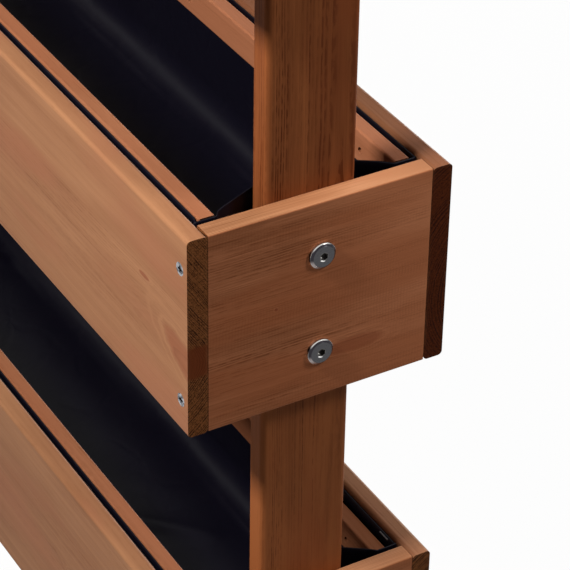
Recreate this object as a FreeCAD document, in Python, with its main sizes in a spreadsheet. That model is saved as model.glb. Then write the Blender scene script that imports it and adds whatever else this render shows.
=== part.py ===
# Tiered planting bed: three film-lined timber boxes, one above the other, bolted at each end to a flat post.
# Sizes are in millimetres. The origin is at the bottom centre, X runs along the boxes, the front is -Y.
import FreeCAD, Part
import Sketcher
import os

TIERS = ("lower", "middle", "upper")
FRONT, REAR = -1, 1
SUNK_BATTEN = ("lower", REAR)
SLATS_PER_TIER = 7
BATTEN_SCREWS_PER_SIDE = 4
STAPLES_PER_SIDE = 6

# Drive recess of a cross-head screw, as shares of its head diameter
RECESS_SPAN = 0.56
RECESS_WIDTH = 0.17
RECESS_DEPTH = 0.22

# Height within which an edge counts as one of the lowest
LEVEL_TOLERANCE = 0.001

SIZES = {
    # Boards of one box
    "bed_length": 800,
    "inner_depth": 158,
    "board_height": 145,
    "board_thickness": 14,
    "board_edge_radius": 3,
    "end_board_thickness": 14,
    "end_board_edge_radius": 1,
    "end_joint_gap": 0.4,
    "tier_pitch": 310,
    # Posts inside the box ends
    "post_thickness": 18,
    "post_width": 64,
    "post_edge_radius": 4,
    # Battens that hold the film's upper edge
    "batten_thickness": 11,
    "batten_height": 23,
    "batten_drop": 1,
    "sunk_batten_drop": 9,
    "batten_edge_radius": 1.5,
    "batten_end_clearance": 0.8,
    "hem_gap": 5,
    # Film liner
    "film_thickness": 1.2,
    "film_clearance": 0.3,
    "film_corner_radius": 22,
    "film_drop": 3,
    "film_end_gap": 4,
    "film_nut_gap": 0.8,
    "film_post_margin": 2,
    "hem_below_batten": 7,
    "hem_height": 14,
    "hem_lip_drop": 2,
    "hem_lip_thickness": 1.6,
    # Ledgers and slats that carry the film's floor
    "ledger_thickness": 12,
    "ledger_height": 20,
    "ledger_lift": 5,
    "ledger_end_gap": 2,
    "slat_thickness": 12,
    "slat_width": 70,
    "slat_end_gap": 2,
    "slat_post_gap": 12,
    "strip_edge_radius": 1.5,
    # Countersunk screws from the long boards into the end boards
    "corner_screw_diameter": 4.5,
    "corner_screw_head": 9,
    "corner_screw_length": 45,
    "corner_screw_edge": 24,
    "corner_screw_offset": 2,
    # Smaller screws of the ledgers and slats
    "strip_screw_diameter": 3.5,
    "strip_screw_head": 7,
    "strip_screw_length": 22,
    "slat_screw_inset": 8,
    # Small-headed screws sunk into the battens
    "batten_screw_diameter": 3,
    "batten_screw_head": 4.4,
    "batten_screw_length": 20,
    "batten_screw_sink": 3,
    "batten_screw_drop": 2,
    "batten_screw_inset": 60,
    # Flat-headed furniture bolts and their sleeve nuts
    "bolt_diameter": 8,
    "bolt_head_diameter": 18.2,
    "bolt_head_height": 3.2,
    "bolt_rim_height": 1.8,
    "bolt_flat_diameter": 14.6,
    "bolt_socket": 5,
    "bolt_socket_depth": 3.6,
    "bolt_end_chamfer": 0.8,
    "bolt_tip_gap": 6,
    "bolt_pair_drop": 1.5,
    "bolt_spacing": 72,
    "bolt_clearance": 0.3,
    "nut_flange_diameter": 19,
    "nut_flange_thickness": 2.2,
    "nut_flange_chamfer": 0.7,
    "nut_web": 1.2,
    "sleeve_diameter": 10.5,
    "sleeve_length": 13,
    # Staples that hold the film to the long boards
    "staple_crown": 10,
    "staple_leg": 8,
    "staple_wire": 0.9,
    "staple_drop": 5.5,
    "staple_inset": 34,
}

UP = FreeCAD.Vector(0, 0, 1)
HALF_TURN = FreeCAD.Rotation(UP, 180)

doc = FreeCAD.newDocument("planting_bed")
sheet = doc.addObject("Spreadsheet::Sheet", "Dims")
for row, (alias, number) in enumerate(SIZES.items(), 1):
    sheet.set(f"A{row}", alias)
    sheet.set(f"B{row}", str(number))
    sheet.setAlias(f"B{row}", alias)
doc.recompute()

# Places that several pieces share, as expressions on the sheet
HALF_LENGTH = "Dims.bed_length / 2"
HALF_DEPTH = "Dims.inner_depth / 2"
END_INNER = f"({HALF_LENGTH} - Dims.end_board_thickness)"
POST_INNER = f"({END_INNER} - Dims.post_thickness)"
BATTEN_FACE = f"({HALF_DEPTH} - Dims.hem_gap - Dims.batten_thickness)"
BATTEN_END = f"({END_INNER} - Dims.film_end_gap - Dims.film_thickness - Dims.batten_end_clearance)"
SLAT_BASE = "(Dims.ledger_lift + Dims.ledger_height)"
SLAT_TOP = f"({SLAT_BASE} + Dims.slat_thickness)"
SLAT_LENGTH = "(Dims.inner_depth - 2 * Dims.slat_end_gap)"
LAST_SLAT = f"({POST_INNER} - Dims.slat_post_gap - Dims.slat_width / 2)"
POST_LENGTH = f"{len(TIERS) - 1} * Dims.tier_pitch + Dims.board_height"
BOLT_LENGTH = "(Dims.end_board_thickness + Dims.post_thickness - Dims.bolt_tip_gap)"


def value(expression):
    return float(sheet.evalExpression(expression))


def spread(count, first, last):
    step = (last - first) / (count - 1)
    return [first + step * index for index in range(count)]


def tier_bottom(tier):
    return f"{TIERS.index(tier)} * Dims.tier_pitch"


def batten_top(tier, side):
    """Depth of a batten's top below the rim; one of them is fixed deeper than the others."""
    return "Dims.sunk_batten_drop" if (tier, side) == SUNK_BATTEN else "Dims.batten_drop"


def new_body(label):
    body = doc.addObject("PartDesign::Body", label)
    body.Label = label
    return body


def outline(body, role, corners):
    """Closed sketch of straight edges on one of the body's planes, each corner bound to two expressions."""
    sketch = body.newObject("Sketcher::SketchObject", body.Name + "_outline")
    plane = next(feature for feature in body.Origin.OriginFeatures if feature.Role == role)
    sketch.AttachmentSupport = [(plane, "")]
    sketch.MapMode = "FlatFace"
    points = [FreeCAD.Vector(value(across), value(along), 0) for across, along in corners]
    count = len(points)
    for index, start in enumerate(points):
        sketch.addGeometry(Part.LineSegment(start, points[(index + 1) % count]), False)
    for index in range(count):
        sketch.addConstraint(Sketcher.Constraint("Coincident", index, 2, (index + 1) % count, 1))
    for index, (across, along) in enumerate(corners):
        for kind, number, expression in (
            ("DistanceX", points[index].x, across),
            ("DistanceY", points[index].y, along),
        ):
            constraint = sketch.addConstraint(Sketcher.Constraint(kind, -1, 1, index, 1, number))
            sketch.setExpression(f"Constraints[{constraint}]", expression)
    return sketch


def rectangle(left, right, low, high):
    return [(left, low), (right, low), (right, high), (left, high)]


def pad(body, sketch, length, side="Symmetric"):
    feature = body.newObject("PartDesign::Pad", body.Name + "_pad")
    feature.Profile = sketch
    feature.SideType = side
    feature.setExpression("Length", length)
    doc.recompute()
    return feature


def edges_along(shape, directions, lowest_only=False):
    names = []
    for number, edge in enumerate(shape.Edges, 1):
        run = edge.Vertexes[-1].Point - edge.Vertexes[0].Point
        along = any(abs(run.normalize().dot(direction)) > 0.999 for direction in directions)
        low = edge.BoundBox.ZMax < shape.BoundBox.ZMin + LEVEL_TOLERANCE
        if along and (low or not lowest_only):
            names.append(f"Edge{number}")
    return names


def round_edges(body, feature, names, radius):
    fillet = body.newObject("PartDesign::Fillet", body.Name + "_rounding")
    fillet.Base = (feature, names)
    fillet.setExpression("Radius", radius)
    doc.recompute()
    return fillet


def place(piece, x, y, z, turned=False):
    if turned:
        piece.Placement = FreeCAD.Placement(FreeCAD.Vector(), HALF_TURN)
    for axis, expression in zip("xyz", (x, y, z)):
        piece.setExpression(f"Placement.Base.{axis}", expression)
    doc.recompute()


def timber(label, role, section, length, radius, side="Symmetric", directions=None):
    """Sawn and planed length: a section, padded, with the edges along the given directions rounded."""
    body = new_body(label)
    feature = pad(body, outline(body, role, section), length, side)
    grain = {"YZ_Plane": FreeCAD.Vector(1, 0, 0), "XZ_Plane": FreeCAD.Vector(0, 1, 0), "XY_Plane": UP}[role]
    round_edges(body, feature, edges_along(feature.Shape, directions or [grain]), radius)
    return body


def revolved(label, profile):
    """Turned blank about Z, drawn as half of its section from the top of the axis to the bottom."""
    body = new_body(label)
    sketch = outline(body, "XZ_Plane", profile)
    feature = body.newObject("PartDesign::Revolution", label + "_turned")
    feature.Profile = sketch
    feature.ReferenceAxis = (sketch, ["V_Axis"])
    feature.Angle = 360
    doc.recompute()
    return body, feature


def recess(body, feature, corners, depth):
    pocket = body.newObject("PartDesign::Pocket", body.Name + "_recess")
    pocket.Profile = outline(body, "XY_Plane", corners)
    pocket.setExpression("Length", depth)
    doc.recompute()
    if not pocket.Shape.Volume < feature.Shape.Volume:
        raise RuntimeError(f"{body.Label}: the recess cuts nothing")


def cross_head_screw(label, prefix):
    """Countersunk screw, its head flush with z = 0: with its cross recess, and as the plain blank."""
    head = f"Dims.{prefix}_head"
    shank = f"Dims.{prefix}_diameter / 2"
    tip = f"-Dims.{prefix}_length"
    body, blank = revolved(label, [
        ("0", "0"),
        (f"{head} / 2", "0"),
        (shank, f"{shank} - {head} / 2"),
        (shank, f"{tip} + Dims.{prefix}_diameter"),
        ("0", tip),
    ])
    arm = f"{head} * {RECESS_SPAN / 2}"
    half = f"{head} * {RECESS_WIDTH / 2}"
    recess(body, blank, [
        (arm, f"-{half}"), (arm, half), (half, half), (half, arm),
        (f"-{half}", arm), (f"-{half}", half), (f"-{arm}", half), (f"-{arm}", f"-{half}"),
        (f"-{half}", f"-{half}"), (f"-{half}", f"-{arm}"), (half, f"-{arm}"), (half, f"-{half}"),
    ], f"{head} * {RECESS_DEPTH}")
    return body.Shape, blank.Shape


def furniture_bolt():
    """Flat bevelled head with a hex socket, on a plain shank; the head's face is at z = 0."""
    seat = "-Dims.bolt_head_height"
    end = f"{seat} - {BOLT_LENGTH}"
    shank = "Dims.bolt_diameter / 2"
    body, blank = revolved("furniture_bolt", [
        ("0", "0"),
        ("Dims.bolt_flat_diameter / 2", "0"),
        ("Dims.bolt_head_diameter / 2", f"{seat} + Dims.bolt_rim_height"),
        ("Dims.bolt_head_diameter / 2", seat),
        (shank, seat),
        (shank, f"{end} + Dims.bolt_end_chamfer"),
        (f"{shank} - Dims.bolt_end_chamfer", end),
        ("0", end),
    ])
    corner = "Dims.bolt_socket / sqrt(3)"
    flat = "Dims.bolt_socket / 2"
    recess(body, blank, [
        (corner, "0"), (f"{corner} / 2", flat), (f"-{corner} / 2", flat),
        (f"-{corner}", "0"), (f"-{corner} / 2", f"-{flat}"), (f"{corner} / 2", f"-{flat}"),
    ], "Dims.bolt_socket_depth")
    return body.Shape


def sleeve_nut():
    """Flanged sleeve with a blind bore; the flange's outer face is at z = 0."""
    flange = "Dims.nut_flange_diameter / 2"
    end = "-Dims.nut_flange_thickness - Dims.sleeve_length"
    return revolved("sleeve_nut", [
        ("0", "0"),
        (f"{flange} - Dims.nut_flange_chamfer", "0"),
        (flange, "-Dims.nut_flange_chamfer"),
        (flange, "-Dims.nut_flange_thickness"),
        ("Dims.sleeve_diameter / 2", "-Dims.nut_flange_thickness"),
        ("Dims.sleeve_diameter / 2", end),
        ("Dims.bolt_diameter / 2", end),
        ("Dims.bolt_diameter / 2", "-Dims.nut_web"),
        ("0", "-Dims.nut_web"),
    ])[0].Shape


def wire_staple():
    """Square-wire staple; its crown lies along X with its outer face at z = 0 and its legs point down."""
    body = new_body("wire_staple")
    half = "Dims.staple_crown / 2"
    inside = f"{half} - Dims.staple_wire"
    tip = "-Dims.staple_wire - Dims.staple_leg"
    sketch = outline(body, "XZ_Plane", [
        (f"-{half}", "0"), (half, "0"), (half, tip), (inside, tip), (inside, "-Dims.staple_wire"),
        (f"-({inside})", "-Dims.staple_wire"), (f"-({inside})", tip), (f"-{half}", tip),
    ])
    pad(body, sketch, "Dims.staple_wire")
    return body.Shape


def bore(label, diameter, depth):
    """Round hole, as the solid that it takes away, from z = 0 down."""
    cylinder = doc.addObject("Part::Cylinder", label)
    cylinder.setExpression("Radius", f"({diameter}) / 2")
    cylinder.setExpression("Height", depth)
    cylinder.setExpression("Placement.Base.z", f"-({depth})")
    doc.recompute()
    return cylinder.Shape


def at(shape, place_on, pointing):
    """Copy of a fastener or bore with its z = 0 face at a point and its -Z end pointing along a direction."""
    copy = shape.copy()
    turn = FreeCAD.Rotation(-UP, pointing)
    copy.Placement = FreeCAD.Placement(place_on, turn).multiply(shape.Placement)
    return copy


def group(label, solids):
    feature = doc.addObject("Part::Feature", label)
    feature.Label = label
    feature.Shape = Part.makeCompound(solids)
    feature.Placement = FreeCAD.Placement()
    return feature


def drill(blank, label, *tools):
    """The blank with every hole that reaches it cut out."""
    box = blank.Shape.BoundBox
    near = [tool for tools_of_kind in tools for tool in tools_of_kind if tool.BoundBox.intersect(box)]
    cut = doc.addObject("Part::Cut", label)
    cut.Label = label
    cut.Base = blank
    cut.Tool = group(label + "_holes", near)
    doc.recompute()
    return cut


corner_screw, corner_blank = cross_head_screw("corner_screw", "corner_screw")
strip_screw, strip_blank = cross_head_screw("strip_screw", "strip_screw")
batten_screw, batten_blank = cross_head_screw("batten_screw", "batten_screw")
bolt = furniture_bolt()
nut = sleeve_nut()
staple = wire_staple()
batten_sink = bore("batten_sink", "Dims.batten_screw_head", "Dims.batten_screw_sink")
bolt_bore = bore("bolt_bore", "Dims.bolt_diameter + 2 * Dims.bolt_clearance", "Dims.end_board_thickness")
sleeve_bore = bore("sleeve_bore", "Dims.sleeve_diameter + 2 * Dims.bolt_clearance", "Dims.post_thickness")

# Every fastener at its place, tier by tier, with the hole that it sits in
corner_screws, corner_holes = [], []
batten_screws, batten_holes = [], []
ledger_screws, ledger_holes = [], []
slat_screws, slat_holes = [], []
staples = []
bolts, bolt_holes = [], []
nuts, sleeve_holes = [], []

slat_places = spread(SLATS_PER_TIER, -value(LAST_SLAT), value(LAST_SLAT))
batten_reach = value(f"{HALF_LENGTH} - Dims.batten_screw_inset")
staple_reach = value(f"{HALF_LENGTH} - Dims.staple_inset")
batten_screw_depth = value("Dims.batten_height / 2 + Dims.batten_screw_drop")
ledger_middle = value("Dims.ledger_lift + Dims.ledger_height / 2")
bolt_middle = value("Dims.board_height / 2 - Dims.bolt_pair_drop")
slat_screw_reach = value(f"{SLAT_LENGTH} / 2 - Dims.slat_screw_inset")
film_face = value(f"{HALF_DEPTH} - Dims.film_clearance - Dims.film_thickness")

for tier in TIERS:
    base = value(tier_bottom(tier))
    rim = base + value("Dims.board_height")
    for side in (FRONT, REAR):
        outward = FreeCAD.Vector(0, side, 0)
        for end in (-1, 1):
            x = end * value(f"{HALF_LENGTH} - Dims.end_board_thickness / 2 - Dims.corner_screw_offset")
            y = side * value(f"{HALF_DEPTH} + Dims.board_thickness")
            for z in (base + value("Dims.corner_screw_edge"), rim - value("Dims.corner_screw_edge")):
                spot = FreeCAD.Vector(x, y, z)
                corner_screws.append(at(corner_screw, spot, -outward))
                corner_holes.append(at(corner_blank, spot, -outward))
        batten_screw_level = rim - value(batten_top(tier, side)) - batten_screw_depth
        for x in spread(BATTEN_SCREWS_PER_SIDE, -batten_reach, batten_reach):
            face = FreeCAD.Vector(x, side * value(BATTEN_FACE), batten_screw_level)
            sunk = face + outward * value("Dims.batten_screw_sink")
            batten_screws.append(at(batten_screw, sunk, outward))
            batten_holes.extend([at(batten_blank, sunk, outward), at(batten_sink, face, outward)])
        for left, right in zip(slat_places, slat_places[1:]):
            spot = FreeCAD.Vector((left + right) / 2, side * value(f"{HALF_DEPTH} - Dims.ledger_thickness"),
                                  base + ledger_middle)
            ledger_screws.append(at(strip_screw, spot, outward))
            ledger_holes.append(at(strip_blank, spot, outward))
        for x in slat_places:
            spot = FreeCAD.Vector(x, side * slat_screw_reach, base + value(SLAT_TOP))
            slat_screws.append(at(strip_screw, spot, -UP))
            slat_holes.append(at(strip_blank, spot, -UP))
        for x in spread(STAPLES_PER_SIDE, -staple_reach, staple_reach):
            crown = film_face - value("Dims.staple_wire")
            spot = FreeCAD.Vector(x, side * crown, rim - value("Dims.staple_drop"))
            staples.append(at(staple, spot, outward))
    for end in (-1, 1):
        inward = FreeCAD.Vector(-end, 0, 0)
        for half in (-1, 1):
            z = base + bolt_middle + half * value("Dims.bolt_spacing / 2")
            face = FreeCAD.Vector(end * value(HALF_LENGTH), 0, z)
            inside = FreeCAD.Vector(end * value(POST_INNER), 0, z)
            bolts.append(at(bolt, face - inward * value("Dims.bolt_head_height"), inward))
            bolt_holes.append(at(bolt_bore, face, inward))
            nuts.append(at(nut, inside + inward * value("Dims.nut_flange_thickness"), -inward))
            sleeve_holes.append(at(sleeve_bore, inside, -inward))

pieces = [
    group("corner_screws", corner_screws),
    group("batten_screws", batten_screws),
    group("ledger_screws", ledger_screws),
    group("slat_screws", slat_screws),
    group("liner_staples", staples),
    group("post_bolts", bolts),
    group("post_nuts", nuts),
]


def post(name, x, turned):
    section = rectangle("-Dims.post_thickness", "0", "-Dims.post_width / 2", "Dims.post_width / 2")
    blank = timber(name + "_blank", "XY_Plane", section, POST_LENGTH, "Dims.post_edge_radius", "One side")
    place(blank, x, "0", "0", turned)
    pieces.append(drill(blank, name, sleeve_holes))


def long_board(name, y, base, turned):
    section = rectangle("-Dims.board_thickness", "0", "0", "Dims.board_height")
    blank = timber(name + "_blank", "YZ_Plane", section, "Dims.bed_length", "Dims.board_edge_radius")
    place(blank, "0", y, base, turned)
    pieces.append(drill(blank, name, corner_holes, batten_holes, ledger_holes, staples))


def end_board(name, x, base, turned):
    section = rectangle("0", "Dims.end_board_thickness", "0", "Dims.board_height")
    length = "Dims.inner_depth - 2 * Dims.end_joint_gap"
    blank = timber(name + "_blank", "XZ_Plane", section, length, "Dims.end_board_edge_radius")
    place(blank, x, "0", base, turned)
    pieces.append(drill(blank, name, corner_holes, bolt_holes))


def batten(name, tier, side):
    section = rectangle("0", "Dims.batten_thickness", "-Dims.batten_height", "0")
    blank = timber(name + "_blank", "YZ_Plane", section, f"2 * {BATTEN_END}", "Dims.batten_edge_radius",
                   directions=[FreeCAD.Vector(1, 0, 0), UP])
    height = f"{tier_bottom(tier)} + Dims.board_height - {batten_top(tier, side)}"
    place(blank, "0", f"{side} * ({HALF_DEPTH} - Dims.hem_gap)", height, side == REAR)
    pieces.append(drill(blank, name, batten_holes))


def ledger(name, y, base, turned):
    section = rectangle("0", "Dims.ledger_thickness", "0", "Dims.ledger_height")
    length = f"2 * ({END_INNER} - Dims.ledger_end_gap)"
    blank = timber(name + "_blank", "YZ_Plane", section, length, "Dims.strip_edge_radius")
    place(blank, "0", y, f"{base} + Dims.ledger_lift", turned)
    pieces.append(drill(blank, name, ledger_holes, slat_holes))


def slat(name, index, base):
    section = rectangle("-Dims.slat_width / 2", "Dims.slat_width / 2", "0", "Dims.slat_thickness")
    blank = timber(name + "_blank", "XZ_Plane", section, SLAT_LENGTH, "Dims.strip_edge_radius")
    step = f"2 * {LAST_SLAT} / {SLATS_PER_TIER - 1}"
    place(blank, f"{index} * {step} - {LAST_SLAT}", "0", f"{base} + {SLAT_BASE}")
    pieces.append(drill(blank, name, slat_holes))


def film_form(label, inset, radius, low, high):
    """Solid that the film wraps: a round-bottomed trough, trimmed in plan to the tents beside each post."""
    wall = f"({HALF_DEPTH} - Dims.film_clearance - {inset})"
    end = f"({END_INNER} - Dims.film_end_gap - {inset})"
    tent = f"({POST_INNER} - Dims.nut_flange_thickness - Dims.film_nut_gap - {inset})"
    shoulder = f"({BATTEN_FACE} - Dims.film_thickness)"
    nose = "(Dims.post_width / 2 + Dims.film_post_margin)"
    trough = new_body(label + "_trough")
    section = rectangle(f"-{wall}", wall, low, high)
    block = pad(trough, outline(trough, "YZ_Plane", section), f"2 * {end}")
    bottom = edges_along(block.Shape, [FreeCAD.Vector(1, 0, 0)], lowest_only=True)
    round_edges(trough, block, bottom, radius)
    plan = new_body(label + "_plan")
    half_plan = [(end, f"-{wall}"), (end, f"-{shoulder}"), (tent, f"-{nose}"),
                 (tent, nose), (end, shoulder), (end, wall)]
    other_half = [(f"-{across}", along) for across, along in reversed(half_plan)]
    pad(plan, outline(plan, "XY_Plane", half_plan + other_half), high, "One side")
    form = doc.addObject("Part::Common", label)
    form.Base = trough
    form.Tool = plan
    doc.recompute()
    return form


def hem(label, tier, side):
    """Folded upper edge of the film between a batten and its board; the front one has a standing lip."""
    near = f"{side} * ({HALF_DEPTH} - Dims.film_clearance - Dims.film_thickness)"
    batten_side = f"({HALF_DEPTH} - Dims.hem_gap + Dims.film_clearance)"
    far = f"{side} * {batten_side}"
    high = f"Dims.board_height - {batten_top(tier, side)} - Dims.hem_below_batten"
    section = rectangle(near, far, f"{high} - Dims.hem_height", high)
    if side == FRONT:
        lip_top = "Dims.board_height - Dims.hem_lip_drop"
        lip_back = f"{side} * ({batten_side} + Dims.hem_lip_thickness)"
        section[2:3] = [(far, lip_top), (lip_back, lip_top), (lip_back, high)]
    body = new_body(label)
    pad(body, outline(body, "YZ_Plane", section), f"2 * {BATTEN_END}")
    return body


def liner(name, tier):
    floor = f"({SLAT_TOP} + Dims.film_clearance)"
    rim = "(Dims.board_height - Dims.film_drop)"
    outside = film_form(name + "_outside", "0", "Dims.film_corner_radius", floor, rim)
    inner_radius = "Dims.film_corner_radius - Dims.film_thickness"
    inside = film_form(name + "_inside", "Dims.film_thickness", inner_radius,
                       f"({floor} + Dims.film_thickness)", f"({rim} + Dims.film_thickness)")
    shell = doc.addObject("Part::Cut", name + "_shell")
    shell.Base = outside
    shell.Tool = inside
    blank = doc.addObject("Part::MultiFuse", name + "_blank")
    blank.Shapes = [shell, hem(name + "_front_hem", tier, FRONT), hem(name + "_rear_hem", tier, REAR)]
    place(blank, "0", "0", tier_bottom(tier))
    pieces.append(drill(blank, name, batten_holes, staples))


post("left_post", f"-{END_INNER}", True)
post("right_post", END_INNER, False)
for tier in TIERS:
    bottom = tier_bottom(tier)
    long_board(f"{tier}_front_board", f"-{HALF_DEPTH}", bottom, False)
    long_board(f"{tier}_rear_board", HALF_DEPTH, bottom, True)
    end_board(f"{tier}_left_end_board", f"-{END_INNER}", bottom, True)
    end_board(f"{tier}_right_end_board", END_INNER, bottom, False)
    batten(f"{tier}_front_batten", tier, FRONT)
    batten(f"{tier}_rear_batten", tier, REAR)
    ledger(f"{tier}_front_ledger", f"-{HALF_DEPTH}", bottom, False)
    ledger(f"{tier}_rear_ledger", HALF_DEPTH, bottom, True)
    for index in range(SLATS_PER_TIER):
        slat(f"{tier}_slat_{index + 1}", index, bottom)
    liner(f"{tier}_liner", tier)

doc.recompute()
for item in doc.Objects:
    if "Invalid" in item.State or "Error" in item.State:
        raise RuntimeError(f"{item.Label} did not recompute: {item.State}")
for piece in pieces:
    if piece.Shape.isNull() or not piece.Shape.isValid():
        raise RuntimeError(f"{piece.Label} has no valid shape")
    print(piece.Label, len(piece.Shape.Solids), round(piece.Shape.Volume, 1))

os.makedirs("parts", exist_ok=True)
for piece in pieces:
    piece.Shape.exportStep(os.path.join("parts", piece.Label + ".step"))
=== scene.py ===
import math

import bmesh
import bpy
from mathutils import Euler, Matrix, Vector, noise


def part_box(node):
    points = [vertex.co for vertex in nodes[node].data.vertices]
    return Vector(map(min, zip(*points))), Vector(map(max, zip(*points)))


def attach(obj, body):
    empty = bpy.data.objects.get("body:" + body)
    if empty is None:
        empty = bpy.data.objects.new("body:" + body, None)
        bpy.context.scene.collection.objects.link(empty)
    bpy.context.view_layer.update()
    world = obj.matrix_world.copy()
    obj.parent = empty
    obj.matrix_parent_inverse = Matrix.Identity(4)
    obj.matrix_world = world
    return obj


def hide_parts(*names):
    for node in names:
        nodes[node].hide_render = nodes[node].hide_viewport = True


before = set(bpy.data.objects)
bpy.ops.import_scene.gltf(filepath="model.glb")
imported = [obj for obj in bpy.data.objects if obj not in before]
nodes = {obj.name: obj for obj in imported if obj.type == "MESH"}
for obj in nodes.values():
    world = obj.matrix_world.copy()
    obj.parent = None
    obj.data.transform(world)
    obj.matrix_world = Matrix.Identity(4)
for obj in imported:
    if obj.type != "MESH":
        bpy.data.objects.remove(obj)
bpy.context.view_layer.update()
tierSeeds = {"lower": 1.7, "middle": 4.9, "upper": 8.3}  # each box's film hangs its own way
tierBase = {tier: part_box(tier + "_front_board")[0].z for tier in tierSeeds}  # height of each box's underside
tierPitch = tierBase["middle"] - tierBase["lower"]
print("frame loaded:", len(nodes), "nodes")


def fillInputs(tree, node, inputs):
    for socket, value in inputs.items():
        if isinstance(value, bpy.types.NodeSocket):
            tree.links.new(value, node.inputs[socket])
        else:
            node.inputs[socket].default_value = value


def addNode(tree, kind, inputs=None, **settings):
    node = tree.nodes.new("ShaderNode" + kind)
    for name, value in settings.items():
        setattr(node, name, value)
    fillInputs(tree, node, inputs or {})
    return node


def calc(tree, operation, first, second=0.0, third=0.0, clamp=False):
    inputs = {0: first, 1: second, 2: third}
    return addNode(tree, "Math", inputs, operation=operation, use_clamp=clamp).outputs[0]


def times(tree, first, second, clamp=False):
    return calc(tree, "MULTIPLY", first, second, clamp=clamp)


def scaled(tree, value, factor, plus, clamp=False):
    return calc(tree, "MULTIPLY_ADD", value, factor, plus, clamp)


def vectorCalc(tree, operation, first, second=(0, 0, 0)):
    node = addNode(tree, "VectorMath", {0: first, 1: second}, operation=operation)
    return node.outputs["Value" if operation == "LENGTH" else "Vector"]


def splitAxes(tree, vector):
    return addNode(tree, "SeparateXYZ", {0: vector}).outputs


def softStep(tree, value, low, high, fromValue=0.0, toValue=1.0):
    inputs = {0: value, 1: low, 2: high, 3: fromValue, 4: toValue}
    return addNode(tree, "MapRange", inputs, interpolation_type="SMOOTHSTEP").outputs[0]


def mixColour(tree, amount, first, second, blend="MIX"):
    node = addNode(tree, "Mix", {0: amount, 6: first, 7: second}, data_type="RGBA", blend_type=blend)
    return node.outputs[2]


def mottle(tree, scale, detail, vector=None, seed=None):  # noise over a surface, along a line, or both
    inputs = {"Scale": scale, "Detail": detail}
    if vector is not None:
        inputs["Vector"] = vector
    if seed is not None:
        inputs["W"] = seed
    dimensions = "3D" if seed is None else "1D" if vector is None else "4D"
    return addNode(tree, "TexNoise", inputs, noise_dimensions=dimensions).outputs


def newGroup(name, inputs, outputs):
    tree = bpy.data.node_groups.new(name, "ShaderNodeTree")
    for label, default in inputs.items():
        kind = "Float" if isinstance(default, float) else {3: "Vector", 4: "Color"}[len(default)]
        socket = tree.interface.new_socket(label, in_out="INPUT", socket_type="NodeSocket" + kind)
        socket.default_value = default
    for label in outputs:
        kind = "Color" if label == "Color" else "Float"
        tree.interface.new_socket(label, in_out="OUTPUT", socket_type="NodeSocket" + kind)
    given = tree.nodes.new("NodeGroupInput").outputs
    result = tree.nodes.new("NodeGroupOutput").inputs
    return tree, given, result


def useGroup(tree, group, inputs):
    node = tree.nodes.new("ShaderNodeGroup")
    node.node_tree = group
    fillInputs(tree, node, inputs)
    return node.outputs


def newMaterial(name):
    material = bpy.data.materials.new(name)
    material.use_nodes = True
    tree = material.node_tree
    return material, tree, tree.nodes["Principled BSDF"].inputs


def addBump(tree, shader, height, strength, distance):
    bump = addNode(tree, "Bump", {"Height": height, "Strength": strength, "Distance": distance})
    tree.links.new(bump.outputs[0], shader["Normal"])


def dress(piece, material):
    piece.data.materials.clear()
    piece.data.materials.append(material)
    for face in piece.data.polygons:
        face.material_index = 0


grainNoise = {  # how often each pattern repeats along and across the grain, per metre, and its detail
    "bend": (1.9, 15, 2.0), "ripple": (22, 150, 3.0), "dash": (130, 420, 2.0), "cloud": (9, 70, 3.0),
    "patch": (4, 32, 1.0), "streak": (5, 210, 3.0), "fibre": (26, 1250, 2.0), "blotch": (6, 24, 3.0),
}
glaze = {
    "ripple": 0.0016,  # how far a ring strays, in metres
    "unevenPitch": 160.0, "unevenYears": 1.7,  # how the rings' widths vary
    "slantTurn": 0.012, "slantBelow": -0.4,  # where the end rings change their lean, and by what share
    "cloudShare": 1.5, "blotchShare": 0.5, "ringGround": 0.20,
    "planerPitch": 2900.0, "planerSway": 11.0, "planerShow": 0.5,
    "endRings": 1.15, "endGround": 0.24, "endDots": 2.4,
    "knotFace": 0.66, "knotEnd": 0.26, "knotRings": 0.22, "halo": 0.55, "wear": 0.14,
    "rough": 0.44, "roughFibre": 0.16, "roughEnd": 0.18, "roughBlotch": 0.08,
    "reliefRings": 0.5, "reliefFibre": 0.45, "reliefPlaner": 0.25,
}


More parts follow.
